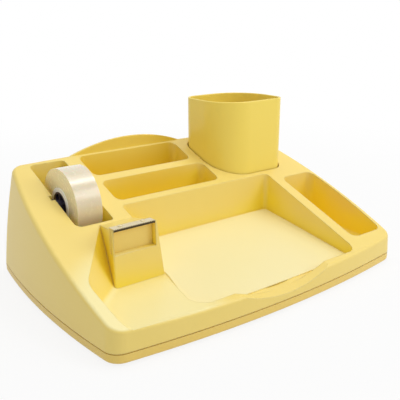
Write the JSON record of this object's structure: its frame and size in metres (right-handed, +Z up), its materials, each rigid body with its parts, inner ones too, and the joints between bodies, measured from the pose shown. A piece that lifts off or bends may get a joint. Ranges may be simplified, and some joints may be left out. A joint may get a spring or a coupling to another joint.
{
  "type": "desk organizer with tape dispenser",
  "caption": "Sloped desk organizer with open compartments, a paper tray with finger scoop, a removable pencil cup and a built-in tape dispenser with a toothed blade.",
  "frame": {"origin": "on the table, under the middle of the base", "axes": "+Z up, -Y is the front with the tray's finger scoop, +X to the right seen from the front"},
  "size_m": [0.338, 0.236, 0.154],
  "materials": {
    "body_plastic": "satin moulded",
    "base_plastic": "satin moulded",
    "cup_plastic": "satin moulded",
    "carrier_plastic": "satin moulded",
    "mat_plastic": "smooth sheet",
    "axle_plastic": "moulded",
    "hub_plastic": "moulded",
    "core_plastic": "smooth",
    "tape_film": "wound clear film",
    "blade_steel": "stamped and plated",
    "rivet_steel": "plated",
    "screw_steel": "zinc plated",
    "ballast_steel": "primed",
    "foot_rubber": "moulded"
  },
  "bodies": {
    "body": {"top_shell": "body_plastic", "base_plate": "base_plastic", "base_screws": "screw_steel", "ballast_plate": "ballast_steel", "ballast_screws": "screw_steel", "foot_front_left": "foot_rubber", "foot_back_left": "foot_rubber", "foot_front_right": "foot_rubber", "foot_back_right": "foot_rubber", "blade_carrier": "carrier_plastic", "tape_blade": "blade_steel", "blade_rivets": "rivet_steel"},
    "cup": {"pencil_cup": "cup_plastic"},
    "axle": {"reel_axle": "axle_plastic"},
    "reel": {"reel_hub": "hub_plastic", "tape_core": "core_plastic", "tape_roll": "tape_film"},
    "mat": {"tray_mat": "mat_plastic"}
  },
  "joints": [
    {"name": "cup_lift", "type": "slide", "parent": "body", "child": "cup", "axis": [0, 0, 1], "range_m": [0, 0.06]},
    {"name": "axle_lift", "type": "slide", "parent": "body", "child": "axle", "axis": [0, 0, 1], "range_m": [0, 0.06]},
    {"name": "reel_spin", "type": "hinge", "parent": "axle", "child": "reel", "pos_m": [-0.113, 0.047, 0.077], "axis": [1, 0, 0], "continuous": true},
    {"name": "mat_lift", "type": "slide", "parent": "body", "child": "mat", "axis": [0, 0, 1], "range_m": [0, 0.045]}
  ]
}
